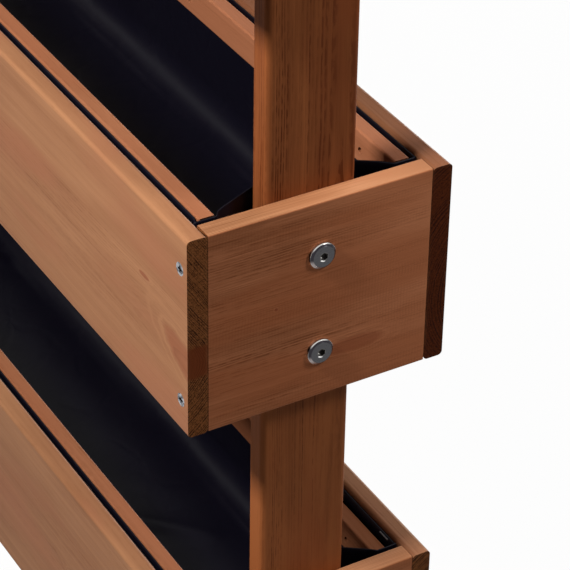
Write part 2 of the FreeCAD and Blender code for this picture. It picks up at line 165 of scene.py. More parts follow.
def makeGlazedWood():
    white = (1, 1, 1, 1)
    tree, given, result = newGroup("glazedWood", {
        "Vector": (0, 0, 0), "Pith": (0, 0, 0),  # along the grain, then across it, from the board's centre
        "Ring Width": 0.0022, "Ring Contrast": 0.5, "Streaks": 0.5, "Fibre": 0.4, "Wander": 0.004,
        "Planing": 0.1, "Fade": 0.0, "Slant": 0.0, "Seed": 0.0, "Push": 0.0, "Knot": 0.0, "Halo": 0.0,
        "End Face": 0.0, "Wear": 0.0, "Pale": white, "Dark": white, "Flush": white,
        "Knot Colour": white, "Knot End": white, "End Pale": white, "End Dark": white,
    }, ("Color", "Roughness", "Height"))
    point, seed, endFace = given["Vector"], given["Seed"], given["End Face"]
    pattern = {}
    for name, (along, across, detail) in grainNoise.items():
        drawnOut = vectorCalc(tree, "MULTIPLY", point, (along, across, across))
        pattern[name] = mottle(tree, 1.0, detail, drawnOut, seed)["Color" if name == "bend" else "Fac"]

    # growth rings round the pith, which lean on the end faces
    along, deep = splitAxes(tree, point)[:2]
    offset = vectorCalc(tree, "SUBTRACT", point, given["Pith"])
    turn = glaze["slantTurn"]
    above = softStep(tree, splitAxes(tree, offset)[2], -turn, turn, glaze["slantBelow"], 1.0)
    slant = times(tree, times(tree, given["Slant"], endFace), above)
    lean = addNode(tree, "CombineXYZ", {"Z": times(tree, deep, slant)}).outputs[0]
    centred = vectorCalc(tree, "SUBTRACT", pattern["bend"], (0.5, 0.5, 0.5))
    reach = times(tree, given["Wander"], 2.0)
    sway = addNode(tree, "VectorMath", {0: centred, "Scale": reach}, operation="SCALE").outputs[0]
    bent = vectorCalc(tree, "ADD", vectorCalc(tree, "ADD", offset, lean), sway)
    fromPith = vectorCalc(tree, "LENGTH", vectorCalc(tree, "MULTIPLY", bent, (0, 1, 1)))
    radius = calc(tree, "ADD", fromPith, given["Push"])
    radius = scaled(tree, pattern["ripple"], glaze["ripple"], radius)
    uneven = mottle(tree, 1.0, 1.0, seed=scaled(tree, radius, glaze["unevenPitch"], seed))["Fac"]
    count = scaled(tree, uneven, glaze["unevenYears"], calc(tree, "DIVIDE", radius, given["Ring Width"]))
    phase = calc(tree, "FRACT", count)
    year = calc(tree, "ADD", calc(tree, "FLOOR", count), seed)
    strength = addNode(tree, "TexWhiteNoise", {"W": year}, noise_dimensions="1D").outputs["Value"]
    late = times(tree, softStep(tree, phase, 0.25, 0.86), softStep(tree, phase, 0.90, 1.0, 1.0, 0.0))
    rings = times(tree, late, scaled(tree, strength, 0.85, 0.15))

    # long faces: rings, streaks, fibres, uneven glaze, and a painted light gradient along the board
    ringFadeAndLight = times(tree, given["Fade"], along)
    shown = times(tree, given["Ring Contrast"], softStep(tree, pattern["patch"], 0.36, 0.64, 0.25, 1.55))
    shown = times(tree, shown, calc(tree, "MAXIMUM", calc(tree, "SUBTRACT", 1.0, ringFadeAndLight), 0.15))
    shown = times(tree, shown, softStep(tree, pattern["dash"], 0.38, 0.60, 0.25, 1.35))
    # painted light: the tone runs darker towards one end of the board and paler towards the other, set by the
    # fade value
    paintedLightDrift = softStep(tree, ringFadeAndLight, -0.20, 0.50, 0.28, -0.24)
    tone = calc(tree, "ADD", scaled(tree, rings, shown, glaze["ringGround"]), paintedLightDrift)
    cloudy = times(tree, given["Streaks"], glaze["cloudShare"])
    for name, amount in (("cloud", cloudy), ("streak", given["Streaks"]), ("fibre", given["Fibre"])):
        tone = scaled(tree, calc(tree, "SUBTRACT", pattern[name], 0.5), amount, tone)
    blotchy = scaled(tree, pattern["blotch"], glaze["blotchShare"], -0.5 * glaze["blotchShare"])
    tone = calc(tree, "ADD", blotchy, tone, clamp=True)
    face = mixColour(tree, tone, given["Pale"], given["Dark"])
    face = mixColour(tree, softStep(tree, pattern["blotch"], 0.46, 0.66, 0.0, 0.65), face, given["Flush"])
    swayed = times(tree, pattern["ripple"], glaze["planerSway"])
    comb = calc(tree, "SINE", scaled(tree, along, glaze["planerPitch"], swayed))
    comb = times(tree, comb, given["Planing"])  # planer ripple across the grain
    comb = times(tree, comb, softStep(tree, pattern["cloud"], 0.40, 0.66))
    face = mixColour(tree, scaled(tree, comb, glaze["planerShow"], 0.0, clamp=True), face, given["Dark"])

    # end faces drink the glaze: darker, with the rings drawn hard
    grainDots = scaled(tree, pattern["fibre"], glaze["endDots"], -0.5 * glaze["endDots"])
    broken = times(tree, rings, softStep(tree, pattern["streak"], 0.30, 0.62, 0.35, 1.25))
    endTone = scaled(tree, broken, glaze["endRings"], glaze["endGround"])
    endTone = calc(tree, "ADD", endTone, grainDots, clamp=True)
    colour = mixColour(tree, endFace, face, mixColour(tree, endTone, given["End Pale"], given["End Dark"]))

    # knots with a pale halo, then edges where the glaze has worn thin
    knotTone = mixColour(tree, endFace, given["Knot Colour"], given["Knot End"])
    knotTone = mixColour(tree, times(tree, rings, glaze["knotRings"]), knotTone, given["End Dark"])
    knotShow = scaled(tree, endFace, glaze["knotEnd"], glaze["knotFace"])
    colour = mixColour(tree, times(tree, given["Knot"], knotShow, clamp=True), colour, knotTone)
    halo = times(tree, given["Halo"], calc(tree, "SUBTRACT", 1.0, endFace))
    colour = mixColour(tree, times(tree, halo, glaze["halo"], clamp=True), colour, given["Pale"])
    colour = mixColour(tree, times(tree, given["Wear"], glaze["wear"]), colour, given["Pale"])
    tree.links.new(colour, result["Color"])

    rough = scaled(tree, pattern["fibre"], glaze["roughFibre"], glaze["rough"])
    rough = scaled(tree, endFace, glaze["roughEnd"], rough)
    rough = scaled(tree, pattern["blotch"], glaze["roughBlotch"], rough)
    tree.links.new(rough, result["Roughness"])
    relief = times(tree, pattern["fibre"], glaze["reliefFibre"])
    relief = scaled(tree, rings, glaze["reliefRings"], relief)
    tree.links.new(scaled(tree, comb, glaze["reliefPlaner"], relief), result["Height"])
    return tree


def makeKnot():
    tree, given, result = newGroup("knot", {
        "Vector": (0, 0, 0), "Place": (0, 0, 0), "Reach": (0.01, 0.01, 0.01), "Depth": 0.006, "Lean": 0.0,
        "Spread": 0.4, "Strength": 1.0, "Seed": 0.0,
    }, ("Knot", "Halo", "Push"))
    ragged = mottle(tree, 140.0, 2.0, given["Vector"], given["Seed"])["Fac"]
    away = vectorCalc(tree, "SUBTRACT", given["Vector"], given["Place"])
    lean = times(tree, splitAxes(tree, away)[0], given["Lean"])
    away = vectorCalc(tree, "ADD", away, addNode(tree, "CombineXYZ", {"Z": lean}).outputs[0])
    away = vectorCalc(tree, "LENGTH", vectorCalc(tree, "DIVIDE", away, given["Reach"]))
    reach = calc(tree, "ADD", away, scaled(tree, ragged, 0.36, -0.18))  # 1 at the knot's ragged edge
    eye = softStep(tree, reach, 0.72, 1.05, 1.0, 0.0)
    tree.links.new(times(tree, eye, given["Strength"]), result["Knot"])
    inner = times(tree, softStep(tree, reach, 0.98, 1.06), softStep(tree, reach, 1.08, 1.20, 1.0, 0.0))
    outer = times(tree, softStep(tree, reach, 1.36, 1.46), softStep(tree, reach, 1.48, 1.64, 0.7, 0.0))
    bands = calc(tree, "MAXIMUM", inner, outer)
    tree.links.new(times(tree, bands, given["Strength"]), result["Halo"])
    spread = times(tree, times(tree, reach, reach), given["Spread"])
    fall = calc(tree, "EXPONENT", times(tree, spread, -1.0))
    tree.links.new(times(tree, fall, given["Depth"]), result["Push"])  # the rings part round the knot
    return tree


def makeEdgeWear():
    tree, given, result = newGroup("edgeWear", {
        "Vector": (0, 0, 0), "Half Size": (0.1, 0.1, 0.1), "Width": 0.002, "Seed": 0.0,
    }, ("Wear",))
    gap = vectorCalc(tree, "SUBTRACT", given["Half Size"], vectorCalc(tree, "ABSOLUTE", given["Vector"]))
    near = [softStep(tree, part, 0.0, given["Width"], 1.0, 0.0) for part in splitAxes(tree, gap)]
    pairs = [calc(tree, "MINIMUM", near[a], near[b]) for a, b in ((0, 1), (1, 2), (0, 2))]
    edge = calc(tree, "MAXIMUM", calc(tree, "MAXIMUM", pairs[0], pairs[1]), pairs[2])
    patch = mottle(tree, 42.0, 3.0, given["Vector"], given["Seed"])["Fac"]
    tree.links.new(times(tree, edge, softStep(tree, patch, 0.35, 0.65)), result["Wear"])
    return tree


def makeHeadCentre():  # place round the axis of the nearest fastener in a pair that repeats box by box
    tree, given, result = newGroup("headCentre", {
        "Across": 0.0, "Height": 0.0, "Middle": 0.07, "Half Spacing": 0.036,
    }, ("Radius", "Side", "Rise", "Marks"))
    markPitch = 5200.0  # turning marks, per metre of radius
    across = given["Across"]
    level = calc(tree, "FLOORED_MODULO", given["Height"], tierPitch)
    level = calc(tree, "SUBTRACT", level, given["Middle"])
    half = times(tree, calc(tree, "SIGN", level), given["Half Spacing"])
    level = calc(tree, "SUBTRACT", level, half)
    radius = calc(tree, "SQRT", scaled(tree, level, level, times(tree, across, across)))
    tree.links.new(radius, result["Radius"])
    tree.links.new(calc(tree, "DIVIDE", across, radius), result["Side"])
    tree.links.new(calc(tree, "DIVIDE", level, radius), result["Rise"])
    tree.links.new(mottle(tree, 1.0, 1.0, seed=times(tree, radius, markPitch))["Fac"], result["Marks"])
    return tree


glazedWood, knot, edgeWear, headCentre = makeGlazedWood(), makeKnot(), makeEdgeWear(), makeHeadCentre()
print("shared finishes built")


grainTurn = {"X": Euler((0, 0, 0)), "Y": Euler((0, 0, -math.pi / 2)), "Z": Euler((0, math.pi / 2, 0))}

boardLook = {  # glazed boards of the boxes
    "pale": (0.455, 0.215, 0.105, 1), "dark": (0.275, 0.110, 0.050, 1), "flush": (0.415, 0.165, 0.086, 1),
    "knotColour": (0.240, 0.075, 0.032, 1), "knotEnd": (0.160, 0.036, 0.010, 1),
    "endPale": (0.275, 0.097, 0.030, 1), "endDark": (0.026, 0.007, 0.002, 1),
    "ringWidth": 0.0021, "ringContrast": 0.26, "streaks": 0.75, "fibre": 0.30, "wander": 0.005,
    # fade fades the rings along the board and also paints a light gradient along it; tints paint whole faces
    # lighter, as painted light
    "planing": 0.04, "fade": 0.0, "slant": 0.0, "paintedLightTints": {}, "quietSides": 1.0, "wearWidth": 0.0026,
    "relief": 0.25, "reliefDepth": 0.0004, "specular": 0.06, "pith": (0.0, 0.045, -0.020), "knots": (),
}
endBoardLook = dict(
    boardLook, pale=(0.600, 0.226, 0.104, 1), dark=(0.205, 0.062, 0.021, 1), flush=(0.450, 0.142, 0.056, 1),
    ringContrast=0.30, streaks=0.56, fibre=0.85, planing=0.32,
    # the end boards' tops and undersides are painted lighter and less red, as painted light
    pith=(0.0, 0.020, -0.075), paintedLightTints={"Z": (1.0, 1.24, 1.34, 1)},
)
postLook = dict(
    boardLook, pale=(0.340, 0.108, 0.036, 1), dark=(0.120, 0.029, 0.008, 1), flush=(0.300, 0.078, 0.025, 1),
    ringContrast=0.75, ringWidth=0.0019, streaks=0.70, fibre=0.55, quietSides=0.25, wearWidth=0.0034,
    # the post's narrow faces are painted lighter, as painted light from the key
    pith=(0.0, 0.024, -0.034), paintedLightTints={"Y": (1.10, 1.10, 1.10, 1)},
)
battenLook = dict(
    boardLook, pale=(0.415, 0.168, 0.082, 1), dark=(0.265, 0.094, 0.040, 1), flush=(0.385, 0.137, 0.064, 1),
    endPale=(0.150, 0.046, 0.015, 1), endDark=(0.035, 0.010, 0.003, 1),
    ringWidth=0.0024, wearWidth=0.0015, pith=(0.0, 0.030, -0.035),
)
bottomLook = dict(
    boardLook, pale=(0.420, 0.190, 0.095, 1), dark=(0.230, 0.085, 0.036, 1), ringContrast=0.45, planing=0.4,
    relief=0.5, wearWidth=0.0016, pith=(0.0, 0.025, -0.030),
)
plainKnot = {"depth": 0.006, "lean": 0.0, "spread": 0.4, "strength": 1.0}

# boards that the photograph shows close up; places run along the grain, then across it, from the centre
closeUps = {
    "middle_front_board": {
        "pith": (0.0, -0.021, -0.0185), "slant": 1.24, "seed": 3.7, "ringWidth": 0.0022,
        "knotColour": (0.310, 0.098, 0.046, 1),
        "knots": (
            {"at": (0.405, 0.0, -0.0185), "reach": (0.038, 0.060, 0.0135), "depth": -0.010, "lean": 0.33,
             "spread": 0.30},
            {"at": (0.344, -0.007, 0.016), "reach": (0.0075, 0.006, 0.0019), "depth": 0.002, "strength": 1.3},
        ),
    },
    "middle_rear_board": {
        "endPale": (0.098, 0.021, 0.005, 1), "endDark": (0.024, 0.004, 0.001, 1),
        "pale": (0.345, 0.145, 0.068, 1), "dark": (0.205, 0.076, 0.034, 1),
        "flush": (0.320, 0.115, 0.055, 1),
    },
    "middle_right_end_board": {
        # fade: the rings fade along this board, and it is painted darker towards its front and paler towards
        # its rear, as painted light
        "pith": (0.0, -0.016, -0.085), "seed": 8.2, "fade": 8.0, "knotColour": (0.285, 0.066, 0.026, 1),
        "knots": (
            {"at": (-0.0314, -0.007, 0.0038), "reach": (0.0014, 0.004, 0.0012), "depth": 0.0006},
            {"at": (0.0250, -0.007, -0.0405), "reach": (0.024, 0.006, 0.0060), "depth": 0.001,
             "strength": 0.65},
        ),
    },
    "right_post": {
        # fade: painted light, the post is painted paler towards its foot, and its rings show less there
        "pith": (0.0, 0.022, -0.030), "seed": 5.1, "fade": -2.0, "pale": (0.352, 0.112, 0.036, 1),
    },
    "middle_rear_batten": {"pale": (0.460, 0.180, 0.090, 1), "dark": (0.300, 0.106, 0.048, 1)},
}
woodInputs = {
    "Pith": "pith", "Ring Width": "ringWidth", "Streaks": "streaks", "Fibre": "fibre", "Wander": "wander",
    "Planing": "planing", "Fade": "fade", "Slant": "slant", "Pale": "pale", "Dark": "dark", "Flush": "flush",
    "Knot Colour": "knotColour", "Knot End": "knotEnd", "End Pale": "endPale", "End Dark": "endDark",
}
knotInputs = {
    "Place": "at", "Reach": "reach", "Depth": "depth", "Lean": "lean", "Spread": "spread",
    "Strength": "strength",
}
logCut = {  # each board is cut from another place in the log
    "turn": 2.399, "scatter": (0.018, 0.022), "firstSeed": 1.0, "seedStep": 1.37,
    "knotEvery": 3, "knotReach": (0.0085, 0.05, 0.0058),
    "knotRange": {"X": (0.23, 0.038), "Y": (0.045, 0.040)},
}


def woodMaterial(name, grain, look, seed):
    low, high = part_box(name)
    turn = grainTurn[grain].to_matrix()
    half = Vector(abs(part) for part in turn @ ((high - low) / 2))
    material, tree, shader = newMaterial(name + "_wood")
    place = addNode(tree, "Mapping", {
        "Vector": addNode(tree, "TexCoord").outputs["Object"],
        "Location": -(turn @ ((high + low) / 2)), "Rotation": grainTurn[grain],
    }).outputs[0]
    normal = splitAxes(tree, addNode(tree, "NewGeometry").outputs["Normal"])
    endFace = softStep(tree, calc(tree, "ABSOLUTE", normal[grain]), 0.80, 0.97)
    contrast = look["ringContrast"]
    if look["quietSides"] < 1.0:  # narrow faces that show the rings less
        sideways = softStep(tree, calc(tree, "ABSOLUTE", normal["Y"]), 0.3, 0.8, 1.0, look["quietSides"])
        contrast = times(tree, sideways, look["ringContrast"])
    wear = useGroup(tree, edgeWear, {
        "Vector": place, "Half Size": half, "Width": look["wearWidth"], "Seed": seed,
    })
    inputs = {label: look[key] for label, key in woodInputs.items()}
    inputs.update({"Vector": place, "Ring Contrast": contrast, "Seed": seed, "End Face": endFace,
                   "Wear": wear["Wear"]})
    for spot in look["knots"]:
        spot = dict(plainKnot, **spot)
        own = {label: spot[key] for label, key in knotInputs.items()}
        eye = useGroup(tree, knot, dict(own, Vector=place, Seed=seed))
        for label in ("Knot", "Halo", "Push"):
            inputs[label] = calc(tree, "ADD", inputs[label], eye[label]) if label in inputs else eye[label]
    wood = useGroup(tree, glazedWood, inputs)
    colour = wood["Color"]
    for axis, paintedLightTint in look["paintedLightTints"].items():  # painted light: faces of one direction are painted lighter, as if more lamp light falls on them
        facing = softStep(tree, calc(tree, "ABSOLUTE", normal[axis]), 0.50, 0.95)
        colour = mixColour(tree, facing, colour, paintedLightTint, "MULTIPLY")
    tree.links.new(colour, shader["Base Color"])
    tree.links.new(wood["Roughness"], shader["Roughness"])
    shader["Specular IOR Level"].default_value = look["specular"]
    addBump(tree, shader, wood["Height"], look["relief"], look["reliefDepth"])
    return material


def dressWood():
    kinds = [("_board", "X", boardLook), ("_end_board", "Y", endBoardLook), ("_post", "Z", postLook),
             ("_batten", "X", battenLook), ("_ledger", "X", bottomLook), ("_slat", "Y", bottomLook)]
    count = 0
    for index, name in enumerate(sorted(nodes)):
        fits = [(grain, look) for mark, grain, look in kinds if mark in name]
        if not fits:
            continue
        grain, look = fits[-1]
        swing = math.sin(index * logCut["turn"]), math.cos(index * logCut["turn"])
        along, deep, wide = look["pith"]
        deepScatter, wideScatter = logCut["scatter"]
        own = dict(look, pith=(along, deep + deepScatter * swing[0], wide + wideScatter * swing[1]))
        if index % logCut["knotEvery"] == 0 and "_board" in name:
            length, width = logCut["knotRange"][grain]
            knotAt = (length * swing[0], 0.0, width * swing[1])
            own["knots"] = ({"at": knotAt, "reach": logCut["knotReach"]},)
        own.update(closeUps.get(name, {}))
        seed = own.get("seed", logCut["firstSeed"] + index * logCut["seedStep"])
        dress(nodes[name], woodMaterial(name, grain, own, seed))
        count += 1
    print("wood dressed:", count, "pieces")


dressWood()


boltLook = {  # metres; each pair's middle is above its box's underside
    "middle": 0.071, "halfSpacing": 0.036,
    "faceRadius": 0.0072, "lipRadius": 0.0084, "edgeRadius": 0.00885, "socketRadius": 0.0031,
    "faceBlur": 0.0004, "edgeBlur": 0.0003, "socketBlur": 0.0002,
    "mouthRadii": (0.0022, 0.0025, 0.0033, 0.0036),
    # the third colour here is a painted highlight for the bevel's lower front
    "face": (0.080, 0.080, 0.084, 1), "rim": (0.034, 0.031, 0.036, 1), "paintedRimSheen": (0.27, 0.235, 0.23, 1),
    # edge colours the randomly worn outer edge and also the painted lip highlight; glint colours a painted
    # glint at the socket's mouth
    "edge": (0.62, 0.60, 0.57, 1), "tarnish": (0.035, 0.031, 0.032, 1), "socket": (0.10, 0.095, 0.09, 1),
    "glint": (0.85, 0.84, 0.82, 1), "grimeScale": 900.0, "tarnishScale": 130.0,
    # direction from the axis, across and up, then where each painted highlight begins and where it is full
    "rimSheenTowards": (-0.65, -0.76, 0.70, 0.97), "lipTowards": (-0.17, 0.98, 0.62, 0.88),
    "glintTowards": (-0.30, -0.95, 0.80, 0.95),
    "rough": 0.24, "roughMarks": 0.2, "roughRim": -0.12, "markRelief": 0.25, "markDepth": 0.0001,
}
zincLook = {
    "middle": 0.0725, "halfSpacing": 0.0485, "fromCentre": 0.391, "spangleScale": 480.0,
    "bright": (0.33, 0.335, 0.36, 1), "shade": (0.026, 0.029, 0.040, 1),
    "rough": 0.20, "roughFleck": 0.22, "markRelief": 0.35, "markDepth": 0.0001,
}
darkSteelLook = {"colour": (0.040, 0.034, 0.030, 1), "roughness": 0.30}
wireLook = {"colour": (0.30, 0.30, 0.30, 1), "roughness": 0.22}
plainLook = {"grimeScale": 700.0, "grimeShare": 0.45, "grimeRough": 0.3, "relief": 0.2, "reliefDepth": 0.0001}


def boltMetal():
    material, tree, shader = newMaterial("nickelBolts")
    source = addNode(tree, "TexCoord").outputs["Object"]
    parts = splitAxes(tree, source)
    head = useGroup(tree, headCentre, {
        "Across": parts["Y"], "Height": parts["Z"], "Middle": boltLook["middle"],
        "Half Spacing": boltLook["halfSpacing"],
    })

    def beyond(start, blur):
        return softStep(tree, head["Radius"], start, start + blur)

    def towards(side, rise, low, high):  # a stretch of the rim, by its direction from the axis
        return softStep(tree, scaled(tree, head["Side"], side, times(tree, head["Rise"], rise)), low, high)

    grime = mottle(tree, boltLook["grimeScale"], 3.0, source)["Fac"]
    tarnish = mottle(tree, boltLook["tarnishScale"], 2.0, source)["Fac"]
    rim = beyond(boltLook["faceRadius"], boltLook["faceBlur"])
    lip = beyond(boltLook["lipRadius"], boltLook["edgeBlur"])
    edge = beyond(boltLook["edgeRadius"], boltLook["edgeBlur"])
    brushed = softStep(tree, head["Marks"], 0.35, 0.70, 0.0, 0.6)
    colour = mixColour(tree, brushed, boltLook["face"], boltLook["rim"])
    colour = mixColour(tree, rim, colour, boltLook["rim"])
    colour = mixColour(tree, softStep(tree, grime, 0.5, 0.75, 0.0, 0.4), colour, boltLook["tarnish"])
    paintedRimSheen = times(tree, towards(*boltLook["rimSheenTowards"]), rim)  # painted highlight: the bevel is painted bright towards its lower front, standing in for a reflection
    colour = mixColour(tree, paintedRimSheen, colour, boltLook["paintedRimSheen"])
    # painted highlight: a thin bright line along the outer lip towards the top, standing in for a reflection
    lip = times(tree, lip, towards(*boltLook["lipTowards"]))
    colour = mixColour(tree, lip, colour, boltLook["edge"])
    worn = times(tree, edge, softStep(tree, tarnish, 0.40, 0.56))
    colour = mixColour(tree, worn, colour, boltLook["edge"])
    socket = boltLook["socketRadius"]
    inside = softStep(tree, head["Radius"], socket - boltLook["socketBlur"], socket, 1.0, 0.0)
    colour = mixColour(tree, inside, colour, boltLook["socket"])
    start, full, fade, stop = boltLook["mouthRadii"]
    mouth = times(tree, softStep(tree, head["Radius"], start, full),
                  softStep(tree, head["Radius"], fade, stop, 1.0, 0.0))
    paintedGlint = times(tree, mouth, towards(*boltLook["glintTowards"]))  # painted glint: the socket's lower mouth is painted bright, standing in for a reflection
    colour = mixColour(tree, paintedGlint, colour, boltLook["glint"])
    tree.links.new(colour, shader["Base Color"])
    shader["Metallic"].default_value = 1.0
    rough = scaled(tree, head["Marks"], boltLook["roughMarks"], boltLook["rough"])
    tree.links.new(scaled(tree, rim, boltLook["roughRim"], rough), shader["Roughness"])
    addBump(tree, shader, head["Marks"], boltLook["markRelief"], boltLook["markDepth"])
    return material


def zincMetal():
    material, tree, shader = newMaterial("zincScrews")
    source = addNode(tree, "TexCoord").outputs["Object"]
    parts = splitAxes(tree, source)
    across = calc(tree, "SUBTRACT", calc(tree, "ABSOLUTE", parts["X"]), zincLook["fromCentre"])
    head = useGroup(tree, headCentre, {
        "Across": across, "Height": parts["Z"], "Middle": zincLook["middle"],
        "Half Spacing": zincLook["halfSpacing"],
    })
    spangle = addNode(tree, "TexVoronoi", {"Vector": source, "Scale": zincLook["spangleScale"]})
    fleck = addNode(tree, "SeparateColor", {0: spangle.outputs["Color"]}).outputs[0]
    shaded = softStep(tree, fleck, 0.22, 0.62, 0.0, 0.92)
    tree.links.new(mixColour(tree, shaded, zincLook["bright"], zincLook["shade"]), shader["Base Color"])
    shader["Metallic"].default_value = 1.0
    tree.links.new(scaled(tree, fleck, zincLook["roughFleck"], zincLook["rough"]), shader["Roughness"])
    addBump(tree, shader, head["Marks"], zincLook["markRelief"], zincLook["markDepth"])
    return material


def plainMetal(name, look):
    material, tree, shader = newMaterial(name)
    source = addNode(tree, "TexCoord").outputs["Object"]
    grime = mottle(tree, plainLook["grimeScale"], 4.0, source)["Fac"]
    shade = tuple(plainLook["grimeShare"] * part for part in look["colour"][:3]) + (1,)
    colour = mixColour(tree, softStep(tree, grime, 0.4, 0.7), look["colour"], shade)
    tree.links.new(colour, shader["Base Color"])
    shader["Metallic"].default_value = 1.0
    tree.links.new(scaled(tree, grime, plainLook["grimeRough"], look["roughness"]), shader["Roughness"])
    addBump(tree, shader, grime, plainLook["relief"], plainLook["reliefDepth"])
    return material


bolts, zinc = boltMetal(), zincMetal()
darkSteel, wire = plainMetal("darkScrews", darkSteelLook), plainMetal("stapleWire", wireLook)
for name, metal in (("post_bolts", bolts), ("post_nuts", bolts), ("corner_screws", zinc),
                    ("ledger_screws", zinc), ("slat_screws", zinc), ("batten_screws", darkSteel),
                    ("liner_staples", wire)):
    dress(nodes[name], metal)
print("metal dressed")


filmLook = {
    "colour": (0.0040, 0.0034, 0.0080, 1), "scuff": (0.0085, 0.0080, 0.0135, 1),
    "roughness": 0.33, "roughCloud": 0.16, "specular": 0.15,
    "cloudScale": 22.0, "grainScale": 420.0, "creaseScale": 26.0, "creaseBend": 30.0, "creaseSway": 0.03,
    "reliefCrease": 0.30, "reliefCloud": 0.9, "reliefGrain": 0.05, "relief": 0.20, "reliefDepth": 0.002,
}
filmForm = {  # metres, in the box's own heights
    "wall": 0.0781, "end": 0.3814, "shoulder": 0.0624, "spine": 0.2860,
    "frontTent": ((0.3770, -0.0600), (0.3628, -0.0270)), "rearTent": ((0.3640, 0.0370), (0.3666, 0.0418)),
    "floor": 0.0379, "corner": 0.0214, "thickness": 0.0004,
    "tentLift": 0.0026, "tentWobble": 0.0006, "tentRamp": 0.008, "cornerLift": 0.0022, "cornerRamp": 0.0016,
    "rimInset": 0.0002, "rimStep": 0.0006, "endTurnIn": 0.30, "endHem": 0.1395, "endHemShare": 0.80,
    "hangTop": 0.123, "hangReach": 0.05,
    "sideSteps": 200, "crowding": 0.85, "endStep": 0.0016, "soften": 0.0008,
    "easing": (-1.5, -0.75, 0, 0.75, 1.5), "foldRound": 1.4,
    "wallSteps": 24, "cornerSteps": 12, "floorSteps": 15, "weld": 0.00005,
    "flat": (0.40, 0.985), "cutArea": 0.372,
}
filmWrinkles = {  # metres: how far it stands off, then the shares of broad and of small waves
    "wall": (0.0016, 0.0022, 0.0017), "corner": (0.0016, 0.0042, 0.0014),
    "cornerRise": (0.0010, 0.0030, 0.0), "floor": (0.0012, 0.0022, 0.0008),
}
filmWaves = {  # how often each wave comes, per metre along, across and up the film
    "tent": (5, 45), "slack": (8, 6, 9), "draw": (31, 40, 7), "swell": (9, 16), "small": (34, 40),
}
seedShares = {"draw": 3.1, "swell": 2.3, "small": 1.3}  # keep the waves from repeating one another
rimHeight = {"front": 0.1416, "rear": 0.1434, "sunk": 0.1416}
hemRows = {  # inset and height of the turned-over upper edge, from its free edge back to the wall
    "front": ((0.0035, 0.1428), (0.0035, 0.1390), (0.0034, 0.1340), (0.0031, 0.1295), (0.0023, 0.1268),
              (0.0014, 0.1288), (0.0008, 0.1335), (0.0006, 0.1390), (0.0004, 0.1412)),
    "rear": ((0.0035, 0.1365), (0.0035, 0.1345), (0.0034, 0.1320), (0.0031, 0.1290), (0.0023, 0.1268),
             (0.0014, 0.1288), (0.0008, 0.1335), (0.0006, 0.1400), (0.0004, 0.1430)),
    "sunk": ((0.0035, 0.1285), (0.0035, 0.1265), (0.0034, 0.1240), (0.0031, 0.1210), (0.0023, 0.1188),
             (0.0014, 0.1208), (0.0008, 0.1290), (0.0006, 0.1380), (0.0004, 0.1412)),
}
filmSlack = {"lower": 0.45, "middle": 0.40, "upper": 0.8}  # how loosely each film lies
filmFolds = {  # (x, y) along each fold on the film's floor, its height and half width
    "lower": ((((-0.30, -0.06), (-0.21, 0.05)), 0.0025, 0.005),
              (((0.150, -0.02), (0.200, 0.030)), 0.0020, 0.007)),
    "middle": (),
    "upper": ((((-0.28, 0.05), (-0.05, 0.02), (0.20, 0.045)), 0.0026, 0.006),
              (((0.05, -0.06), (0.12, 0.05)), 0.0024, 0.005)),
}
endRamp = {  # where the lower film leaves its floor and slopes up to the posts
    "start": 0.252, "bow": 9.0, "bowFrom": 0.05, "slope": 0.24, "soften": 0.016, "straightFrom": 40.0,
}


def share(value):
    return max(0.0, min(1.0, value))


def filmOutline():
    end, wall, shoulder = (filmForm[k] for k in ("end", "wall", "shoulder"))
    tents = list(filmForm["frontTent"]) + list(filmForm["rearTent"])
    rightEnd = [(end, -wall), (end, -shoulder)] + tents + [(end, shoulder), (end, wall)]
    loop = [Vector(p) for p in rightEnd] + [Vector((-x, y)) for x, y in reversed(rightEnd)]
    lengths = [(loop[(i + 1) % len(loop)] - p).length for i, p in enumerate(loop)]
    total = sum(lengths)

    def pointAt(distance):
        distance %= total
        for index, length in enumerate(lengths):
            if distance <= length:
                return loop[index].lerp(loop[(index + 1) % len(loop)], distance / length)
            distance -= length
        return loop[0]

    points, travelled = [], 0.0
    for length in lengths:  # close stations round the tents, wide ones along the boards
        side = length > end
        steps = filmForm["sideSteps"] if side else round(length / filmForm["endStep"])
        for step in range(steps):
            part = step / steps
            if side:  # close together again towards the corners
                part -= filmForm["crowding"] * math.sin(2 * math.pi * part) / (2 * math.pi)
            station = travelled + length * part
            near = [pointAt(station + reach * filmForm["soften"]) for reach in filmForm["easing"]]
            points.append(sum(near, Vector((0, 0))) / len(near))  # corners eased by averaging nearby points
        travelled += length
    return points


def filmProfile(side):
    floor, corner, wall = (filmForm[k] for k in ("floor", "corner", "wall"))
    wallSteps, cornerSteps, floorSteps = (filmForm[k] for k in ("wallSteps", "cornerSteps", "floorSteps"))
    rim, rimStep = rimHeight[side], filmForm["rimStep"]
    rows = [("hem", inset, height) for inset, height in hemRows[side]]
    rows.append(("rim", filmForm["rimInset"], rim))
    for step in range(wallSteps):
        rows.append(("wall", 0.0, rim - rimStep + (floor + corner - rim + rimStep) * step / wallSteps))
    for step in range(cornerSteps):
        angle = math.pi / 2 * step / cornerSteps
        rows.append(("corner", corner * (1 - math.cos(angle)), floor + corner * (1 - math.sin(angle))))
    for step in range(floorSteps + 1):
        rows.append(("floor", corner + (wall - corner) * step / floorSteps, floor))
    return rows


def foldHeight(x, y, folds):
    lift = 0.0
    for path, height, width in folds:
        nearest = 1.0
        for start, stop in zip(path, path[1:]):
            a, b, p = Vector(start), Vector(stop), Vector((x, y))
            along = share((p - a).dot(b - a) / (b - a).length_squared)
            nearest = min(nearest, (p - a.lerp(b, along)).length)
        lift += height * math.exp(-(nearest / width) ** filmForm["foldRound"])
    return lift


